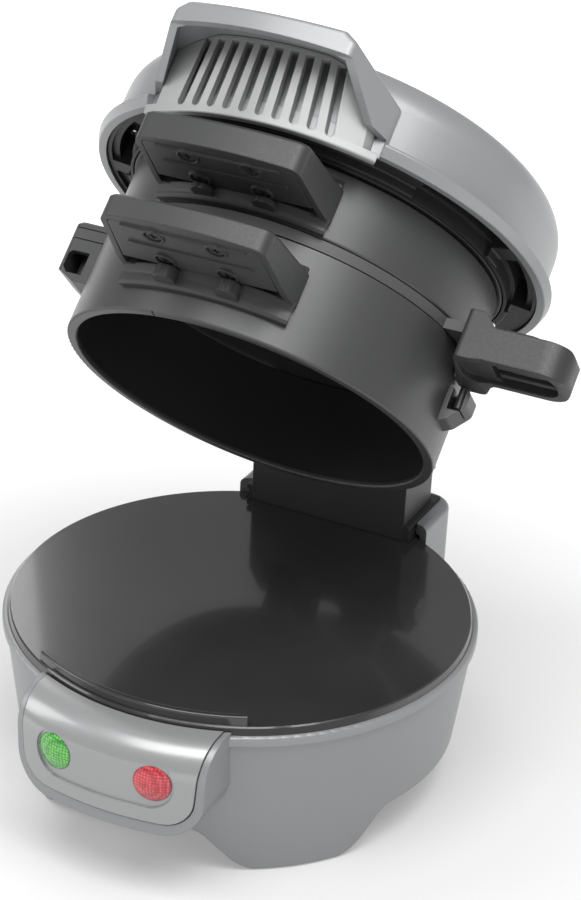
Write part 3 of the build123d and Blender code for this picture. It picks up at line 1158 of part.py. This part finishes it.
def upper_heat_shield():
    low = TRAY_Z + TRAY_T
    wall = TOP_BOSS_R + 0.8
    rim = TRAY_LEDGE_R + 2.5
    cup = turned([(0, TOP_SHIELD_Z, 0), (wall, TOP_SHIELD_Z, 0.5), (wall, low, 0), (rim, low, 0),
                  (rim, low + 1, 0), (wall + 1, low + 1, 0), (wall + 1, TOP_SHIELD_Z + 1, 1.5),
                  (0, TOP_SHIELD_Z + 1, 0)])
    for azimuth in STUD_AZIMUTHS:
        cup -= disc(STUD_R + 0.2, 100, 140, *on_azimuth(TOP_STUD_PATH_R, azimuth))
    for side in (-1, 1):
        x, y = on_azimuth(TOP_ELEMENT_PATH_R, side * (180 - ELEMENT_GAP))
        cup -= disc(ELEMENT_R + 0.8, 100, 140, x, y)
    return cup


def upper_shield_nuts():
    return Compound(children=[
        Pos(*on_azimuth(TOP_STUD_PATH_R, a), 0) * nut(STUD_R, TOP_SHIELD_Z + 1)
        for a in STUD_AZIMUTHS])


def lid_thermostat():
    top = TOP_PLATE_Z + TOP_PLATE_T + TOP_BOSS_T
    return thermostat(top, top + 6, top + 5.1)


def lid_hinge_arm():
    y0, y1 = LID_ARM_Y
    low = LID_ARM_TOP - LEG_T
    end = LEG_SCREW_Y - 3.9
    leg = sideways([(y0, HINGE_Z, 0), (y0, low, 2), (end, low, 1), (end, LID_ARM_TOP, 1),
                    (y1, LID_ARM_TOP, 4), (y1, HINGE_Z, 0)], -LID_ARM_HALF, LID_ARM_HALF)
    leg += crossbar(KNUCKLE_R, -LID_ARM_HALF, LID_ARM_HALF, HINGE_Y, HINGE_Z)
    for x in (-LEG_SCREW_X, LEG_SCREW_X):
        leg -= disc(SCREW_R, low - 10, LID_ARM_TOP + 10, x, LEG_SCREW_Y)
        leg -= disc(SCREW_HEAD_R, low - 10, low + SCREW_HEAD_H, x, LEG_SCREW_Y)
    return leg - crossbar(PIN_R + RUN_CLEAR, -40, 40, HINGE_Y, HINGE_Z)


def lid_hinge_screws():
    low = LID_ARM_TOP - LEG_T
    return Compound(children=[Pos(x, LEG_SCREW_Y, low) * screw(11)
                              for x in (-LEG_SCREW_X, LEG_SCREW_X)])


# ---- the whole set ----
def build_all():
    fixed = {
        "base_housing": base_housing(),
        "front_panel": front_panel(),
        "ready_light_lens": lens(-1),
        "power_light_lens": lens(1),
        "indicator_lamps": indicator_lamps(),
        "lamp_board": lamp_board(),
        "lamp_board_screws": lamp_board_screws(),
        "lower_heating_plate": lower_heating_plate(),
        "lower_heating_element": lower_heating_element(),
        "lower_heat_shield": lower_heat_shield(),
        "lower_shield_nuts": lower_shield_nuts(),
        "lower_thermostat": lower_thermostat(),
        "thermal_fuse": thermal_fuse(),
        "terminal_block": terminal_block(),
        "base_bottom_cover": base_bottom_cover(),
        "foot_pads": foot_pads(),
        "base_screws": base_screws(),
        "tower_screws": tower_screws(),
        "cord_gland": cord_gland(),
        "hinge_tower": hinge_tower(),
        "tower_collar": tower_collar(),
        "hinge_pin": hinge_pin(),
        "hinge_pin_clip": hinge_pin_clip(),
    }
    tilted = {
        "lower_ring": lower_ring(),
        "lower_ring_liner": ring_liner(LOW_RING_BOTTOM, LOW_RING_TOP),
        "lower_ring_handle": ring_handle(*LOW_HANDLE),
        "lower_ring_handle_cover": ring_handle_cover(*LOW_HANDLE[:2]),
        "lower_ring_handle_screws": ring_handle_screws(*LOW_HANDLE[:2]),
        "lower_ring_mount_screws": mount_screws(LOW_HANDLE[6]),
        "upper_ring": upper_ring(),
        "upper_ring_liner": ring_liner(UP_RING_BOTTOM, UP_RING_TOP),
        "upper_ring_handle": ring_handle(*UP_HANDLE),
        "upper_ring_handle_cover": ring_handle_cover(*UP_HANDLE[:2]),
        "upper_ring_handle_screws": ring_handle_screws(*UP_HANDLE[:2]),
        "upper_ring_mount_screws": mount_screws(UP_HANDLE[6]),
        "plate_pivot_pin": plate_pivot_pin(),
        "cooking_plate": cooking_plate(),
        "plate_handle": plate_handle(),
        "plate_handle_cover": plate_handle_cover(),
        "plate_handle_screws": plate_handle_screws(),
        "plate_catch_pin": catch_pin(),
        "lid_shell": lid_shell(),
        "lid_handle_grille": lid_handle_grille(),
        "grille_push_nuts": grille_push_nuts(),
        "lid_tray": lid_tray(),
        "lid_screws": lid_screws(),
        "upper_heating_plate": upper_heating_plate(),
        "upper_heating_element": upper_heating_element(),
        "upper_heat_shield": upper_heat_shield(),
        "upper_shield_nuts": upper_shield_nuts(),
        "lid_thermostat": lid_thermostat(),
        "lid_hinge_arm": lid_hinge_arm(),
        "lid_hinge_screws": lid_hinge_screws(),
    }
    nodes = dict(fixed)
    nodes.update({name: opened(shape) for name, shape in tilted.items()})
    return nodes


os.makedirs("parts", exist_ok=True)
for node_name, node_shape in build_all().items():
    export_step(node_shape, f"parts/{node_name}.step")
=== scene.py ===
import bpy
import json
import math
from mathutils import Matrix, Vector

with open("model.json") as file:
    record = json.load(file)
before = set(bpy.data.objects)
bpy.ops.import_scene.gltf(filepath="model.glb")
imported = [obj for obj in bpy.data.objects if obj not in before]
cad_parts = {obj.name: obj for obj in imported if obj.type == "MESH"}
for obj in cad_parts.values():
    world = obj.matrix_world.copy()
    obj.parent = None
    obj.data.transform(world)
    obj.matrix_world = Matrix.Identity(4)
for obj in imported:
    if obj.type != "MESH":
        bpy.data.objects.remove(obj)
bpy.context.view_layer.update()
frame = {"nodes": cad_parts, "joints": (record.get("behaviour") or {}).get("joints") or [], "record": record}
nodes = frame["nodes"]

MM = 0.001
WHITE = (1.0, 1.0, 1.0)

# The rings, the cooking plate and the lid stand open at rest. Turned by OPEN about the hinge pin
# they are closed, and their common axis is then the z axis.
ring_hinge = next(joint for joint in frame["joints"] if joint["name"] == "ring_hinge")
HINGE = Vector(ring_hinge["pos_m"])
OPEN = math.radians(-ring_hinge["range_deg"][0])


# ---------------------------------------------------------------- shader helpers
def new_material(name):
    """A new material with its node tree and its main shader."""
    mat = bpy.data.materials.new(name)
    mat.use_nodes = True
    tree = mat.node_tree
    return mat, tree, tree.nodes["Principled BSDF"]


def add(tree, kind, **props):
    """Add a node and set its properties."""
    node = tree.nodes.new(kind)
    for key, value in props.items():
        setattr(node, key, value)
    return node


def put(node, values):
    """Set constant inputs of a node, by the name or number of each socket."""
    for socket, value in values.items():
        node.inputs[socket].default_value = value


def object_coords(tree):
    """Place on the object in metres, which turns with the object's body."""
    return add(tree, "ShaderNodeTexCoord").outputs["Object"]


def noise_tex(tree, coords, scale, detail, rough):
    tex = add(tree, "ShaderNodeTexNoise")
    put(tex, {"Scale": scale, "Detail": detail, "Roughness": rough})
    tree.links.new(coords, tex.inputs["Vector"])
    return tex


def ramp(tree, source, low, high):
    """Colour that goes from one (position, colour) stop to another."""
    node = add(tree, "ShaderNodeValToRGB")
    for stop, (position, colour) in zip(node.color_ramp.elements, (low, high)):
        stop.position = position
        stop.color = (*colour, 1.0)
    tree.links.new(source, node.inputs["Fac"])
    return node.outputs["Color"]


def span(tree, source, low, high, out_low, out_high):
    """Map low..high of the source onto out_low..out_high."""
    node = add(tree, "ShaderNodeMapRange")
    put(node, {"From Min": low, "From Max": high, "To Min": out_low, "To Max": out_high})
    tree.links.new(source, node.inputs["Value"])
    return node.outputs["Result"]


def grey(value, tint=0.0):
    """Grey with a little less red and more blue, by the share that tint gives."""
    return (value * (1 - tint), value, value * (1 + tint))


# ---------------------------------------------------------------- kinds of material
CLOUD_BAND = (0.35, 0.65)      # noise values between which the tone goes from dark to base
GRAIN_BAND = (0.3, 0.7)        # noise values between which the roughness swings


def surface(name, base, dark, roughness, metallic=0.0, coat=0.0, coat_rough=0.1, grain=900.0,
            grain_depth=0.02 * MM, cloud=18.0, bevel=0.4 * MM, rough_swing=0.06, specular=0.5):
    """Painted or moulded surface: cloudy tone, fine grain in the bump, softened edges."""
    mat, tree, shader = new_material(name)
    coords = object_coords(tree)
    clouds = noise_tex(tree, coords, cloud, detail=3.0, rough=0.55)
    tone = ramp(tree, clouds.outputs["Fac"], (CLOUD_BAND[0], dark), (CLOUD_BAND[1], base))
    tree.links.new(tone, shader.inputs["Base Color"])
    fine = noise_tex(tree, coords, grain, detail=2.0, rough=0.6)
    level = span(tree, fine.outputs["Fac"], *GRAIN_BAND, roughness - rough_swing, roughness + rough_swing)
    tree.links.new(level, shader.inputs["Roughness"])
    put(shader, {"Metallic": metallic, "Coat Weight": coat, "Coat Roughness": coat_rough,
                 "Specular IOR Level": specular})
    soft = add(tree, "ShaderNodeBevel", samples=4)
    put(soft, {"Radius": bevel})
    bump = add(tree, "ShaderNodeBump")
    put(bump, {"Strength": 1.0, "Distance": grain_depth})
    tree.links.new(fine.outputs["Fac"], bump.inputs["Height"])
    tree.links.new(soft.outputs["Normal"], bump.inputs["Normal"])
    tree.links.new(bump.outputs["Normal"], shader.inputs["Normal"])
    return mat


FACET_SCALE = 1050.0           # cells per metre, so a facet is about 1 mm across
FACET_DEPTH = 0.3 * MM


def lens_material(name, base, deep):
    """Clear coloured dome over a honeycomb of small facets, with a faint glow."""
    mat, tree, shader = new_material(name)
    cells = add(tree, "ShaderNodeTexVoronoi", feature="F1")
    put(cells, {"Scale": FACET_SCALE, "Randomness": 0.25})
    tree.links.new(object_coords(tree), cells.inputs["Vector"])
    tone = ramp(tree, cells.outputs["Distance"], (0.12, base), (0.62, deep))
    tree.links.new(tone, shader.inputs["Base Color"])
    tree.links.new(tone, shader.inputs["Emission Color"])
    put(shader, {"Roughness": 0.16, "Coat Weight": 0.7, "Coat Roughness": 0.08,
                 "Emission Strength": 0.10})
    facets = add(tree, "ShaderNodeBump", invert=True)
    put(facets, {"Strength": 0.5, "Distance": FACET_DEPTH})
    tree.links.new(cells.outputs["Distance"], facets.inputs["Height"])
    tree.links.new(facets.outputs["Normal"], shader.inputs["Normal"])
    return mat


FACE_R = 58.0 * MM             # black face of the cooking plate; its rim outside is ring-grey
FACE_EDGE = 0.2 * MM           # width of the step between the two tones


def two_zone(name, inner, outer):
    """Cooking plate: one tone within FACE_R of its axis in the closed pose, another outside."""
    mat, tree, shader = new_material(name)
    closed = add(tree, "ShaderNodeMapping", vector_type="POINT")
    put(closed, {"Rotation": (OPEN, 0.0, 0.0), "Location": HINGE - Matrix.Rotation(OPEN, 3, "X") @ HINGE})
    tree.links.new(object_coords(tree), closed.inputs["Vector"])
    flat = add(tree, "ShaderNodeVectorMath", operation="MULTIPLY")
    put(flat, {1: (1.0, 1.0, 0.0)})
    tree.links.new(closed.outputs["Vector"], flat.inputs[0])
    reach = add(tree, "ShaderNodeVectorMath", operation="LENGTH")
    tree.links.new(flat.outputs["Vector"], reach.inputs[0])
    zone = span(tree, reach.outputs["Value"], FACE_R, FACE_R + FACE_EDGE, 0.0, 1.0)
    tone = ramp(tree, zone, (0.0, inner), (1.0, outer))
    tree.links.new(tone, shader.inputs["Base Color"])
    put(shader, {"Roughness": 0.42, "Specular IOR Level": 0.35})
    return mat


# ---------------------------------------------------------------- materials
# Silver paint on the shells, on the front panel and on the grille
PAINT_GRAIN = 4200.0
silver = surface("silver_paint", grey(0.275, 0.020), grey(0.268, 0.020), 0.40, metallic=0.3,
                 coat=0.12, coat_rough=0.14, grain=PAINT_GRAIN, grain_depth=0.003 * MM,
                 rough_swing=0.03)
silver_panel = surface("silver_panel", grey(0.33, 0.010), grey(0.323, 0.010), 0.30, metallic=0.35,
                       coat=0.45, coat_rough=0.10, grain=PAINT_GRAIN, grain_depth=0.002 * MM,
                       rough_swing=0.02)
silver_grille = surface("silver_grille", grey(0.33, 0.006), grey(0.322, 0.006), 0.42, metallic=0.2,
                        coat=0.1, coat_rough=0.12, grain=PAINT_GRAIN, grain_depth=0.003 * MM,
                        rough_swing=0.03)

# Dark plastic and coatings
charcoal = surface("charcoal_plastic", grey(0.034, 0.02), grey(0.031, 0.02), 0.44, grain=1700.0,
                   grain_depth=0.016 * MM, rough_swing=0.07, bevel=0.6 * MM)
# Darker copy of the charcoal plastic for the lid's tray: painted shade, since the tray on the lid's
# underside lies in shade
tray_painted_shade = surface("charcoal_painted_shade", grey(0.020, 0.02), grey(0.017, 0.02), 0.5, grain=1500.0,
                     grain_depth=0.01 * MM, specular=0.35)
ring_paint = surface("ring_coating", grey(0.066, 0.012), grey(0.063, 0.012), 0.40, metallic=0.4,
                     grain=2600.0, grain_depth=0.006 * MM, coat=0.12, coat_rough=0.3,
                     rough_swing=0.04)
nonstick = surface("nonstick_black", grey(0.016), grey(0.013), 0.45, grain=1600.0,
                   grain_depth=0.01 * MM, specular=0.3)
plate_gloss = surface("plate_gloss", (0.030, 0.029, 0.029), (0.024, 0.023, 0.023), 0.17,
                      grain=1400.0, grain_depth=0.004 * MM, coat=0.6, coat_rough=0.06,
                      rough_swing=0.03)
plate_two_tone = two_zone("plate_two_tone", grey(0.016), grey(0.066, 0.012))
rubber = surface("soft_black_rubber", grey(0.022), grey(0.018), 0.6, grain=1200.0,
                 grain_depth=0.04 * MM)

# Bare and blackened metal
STEEL_GRAIN = 1800.0
steel = surface("bright_steel", grey(0.62), grey(0.56), 0.24, metallic=1.0, grain=STEEL_GRAIN,
                grain_depth=0.008 * MM, bevel=0.2 * MM)
black_screw = surface("blackened_steel", grey(0.045), grey(0.038), 0.42, metallic=0.4,
                      grain=STEEL_GRAIN, grain_depth=0.008 * MM, bevel=0.2 * MM)
sheath = surface("heater_sheath", (0.16, 0.15, 0.14), (0.11, 0.10, 0.09), 0.4, metallic=0.9)
sheet_metal = surface("pressed_aluminium", grey(0.66), grey(0.6), 0.3, metallic=1.0)

# Electrical pieces
ceramic = surface("ceramic_white", (0.62, 0.60, 0.55), (0.55, 0.53, 0.48), 0.45)
board_brown = surface("board_brown", (0.20, 0.13, 0.06), (0.16, 0.10, 0.05), 0.5)
lamp_glass = surface("lamp_glass", (0.85, 0.80, 0.70), (0.8, 0.75, 0.65), 0.08)
green = lens_material("green_lens", (0.18, 0.60, 0.09), (0.012, 0.20, 0.02))
red = lens_material("red_lens", (0.72, 0.08, 0.10), (0.32, 0.010, 0.02))

# Material of each slot that the record names, and of the nodes that differ from their slot
SLOT_FINISH = {
    "silver_shell": silver, "silver_panel": silver_panel, "charcoal_mould": charcoal,
    "ring_metal": ring_paint, "nonstick": nonstick, "plate_cast": plate_gloss,
    "bright_steel": steel, "element_steel": sheath, "shield_steel": sheet_metal,
    "green_lens": green, "red_lens": red, "lamp_glass": lamp_glass, "board": board_brown,
    "soft_black": rubber, "ceramic": ceramic,
}
NODE_FINISH = {
    # the lid's tray takes the darker charcoal copy, which is painted shade
    "lid_handle_grille": silver_grille, "cooking_plate": plate_two_tone, "lid_tray": tray_painted_shade,
    "lower_ring_handle_screws": black_screw, "upper_ring_handle_screws": black_screw,
}


def give(obj, mat):
    obj.data.materials.clear()
    obj.data.materials.append(mat)


for part in frame["record"]["subparts"]:
    node = part["node"]
    give(nodes[node], NODE_FINISH.get(node, SLOT_FINISH[part["material_slot"]]))


# ---------------------------------------------------------------- floor and world
FLOOR_SIZE = 12.0
FLOOR_TONE = 0.50
# The floor glows less near the origin, which paints shade on the floor round the object
GLOW_NEAR, GLOW_FAR = 0.08, 0.62        # distances from the origin between which the glow grows
GLOW_LOW_PAINTED_SHADE, GLOW_HIGH = 0.28, 0.99        # glow at those distances
WORLD_STRENGTH = 0.40


def make_floor():
    """Pale floor that glows more with distance: white all round, and darker near the object, where its lower
    glow is painted shade beside a soft contact shadow.
    """
    side = FLOOR_SIZE / 2
    mesh = bpy.data.meshes.new("floor")
    corners = [(-side, -side, 0.0), (side, -side, 0.0), (side, side, 0.0), (-side, side, 0.0)]
    mesh.from_pydata(corners, [], [(0, 1, 2, 3)])
    floor = bpy.data.objects.new("floor", mesh)
    bpy.context.scene.collection.objects.link(floor)
    mat, tree, shader = new_material("floor_white")
    put(shader, {"Base Color": (FLOOR_TONE, FLOOR_TONE, FLOOR_TONE, 1.0),
                 "Emission Color": (*WHITE, 1.0), "Roughness": 0.6, "Specular IOR Level": 0.2})
    distance = add(tree, "ShaderNodeVectorMath", operation="LENGTH")
    tree.links.new(object_coords(tree), distance.inputs[0])
    # lower glow near the object: painted shade
    glow = span(tree, distance.outputs["Value"], GLOW_NEAR, GLOW_FAR, GLOW_LOW_PAINTED_SHADE, GLOW_HIGH)
    tree.links.new(glow, shader.inputs["Emission Strength"])
    give(floor, mat)


def make_world():
    """Even white light from all round."""
    world = bpy.data.worlds.new("studio")
    bpy.context.scene.world = world
    world.use_nodes = True
    put(world.node_tree.nodes["Background"], {"Color": (*WHITE, 1.0), "Strength": WORLD_STRENGTH})


# ---------------------------------------------------------------- lights
LAMP_AIM = (0.0, 0.0, 0.14)    # on the z axis, at the height of the opened rings


def area(name, place, target, size, power):
    """Soft rectangular lamp at a place, turned towards its target; power in watts."""
    lamp = bpy.data.lights.new(name, "AREA")
    lamp.shape = "RECTANGLE"
    lamp.size, lamp.size_y = size
    lamp.energy = power
    obj = bpy.data.objects.new(name, lamp)
    obj.location = place
    aim = Vector(target) - Vector(place)
    obj.rotation_euler = aim.to_track_quat("-Z", "Y").to_euler()
    bpy.context.scene.collection.objects.link(obj)


# ---------------------------------------------------------------- camera
AZIMUTH = math.radians(25.444)          # to the right of the object's front
ELEVATION = math.radians(27.057)
ROLL = math.radians(2.897)
CAMERA_PLACE = Vector((0.2914, -0.5824, 0.4393))
FOCAL_LENGTH = 96.75                    # millimetres, with the sensor below
SENSOR_HEIGHT = 36.0
NEAR_CLIP = 0.01


def make_camera():
    """Camera to the right of the object's front, looking down on it."""
    right = Vector((math.cos(AZIMUTH), math.sin(AZIMUTH), 0.0))
    back = Vector((math.sin(AZIMUTH) * math.cos(ELEVATION), -math.cos(AZIMUTH) * math.cos(ELEVATION),
                   math.sin(ELEVATION)))
    up = back.cross(right)
    tilt_right = right * math.cos(ROLL) + up * math.sin(ROLL)
    tilt_up = up * math.cos(ROLL) - right * math.sin(ROLL)
    lens = bpy.data.cameras.new("camera")
    lens.sensor_fit = "VERTICAL"
    lens.sensor_height = SENSOR_HEIGHT
    lens.lens = FOCAL_LENGTH
    lens.clip_start = NEAR_CLIP
    camera = bpy.data.objects.new("camera", lens)
    turn = Matrix((tilt_right, tilt_up, back)).transposed().to_4x4()
    camera.matrix_world = Matrix.Translation(CAMERA_PLACE) @ turn
    bpy.context.scene.collection.objects.link(camera)
    bpy.context.scene.camera = camera


make_floor()
make_world()
area("top_front", (0.08, -0.42, 1.1), LAMP_AIM, (0.9, 0.6), 8.9)
area("top_right", (0.55, -0.1, 1.15), LAMP_AIM, (0.6, 0.6), 5.9)
area("left_soft", (-0.95, -0.45, 0.7), (0.0, 0.0, 0.12), (0.4, 0.7), 3.3)
area("back_left", (-0.86, 0.84, 0.62), (-0.05, 0.0, 0.05), (0.42, 0.45), 1.7)
make_camera()
bpy.context.scene.view_settings.view_transform = "Standard"
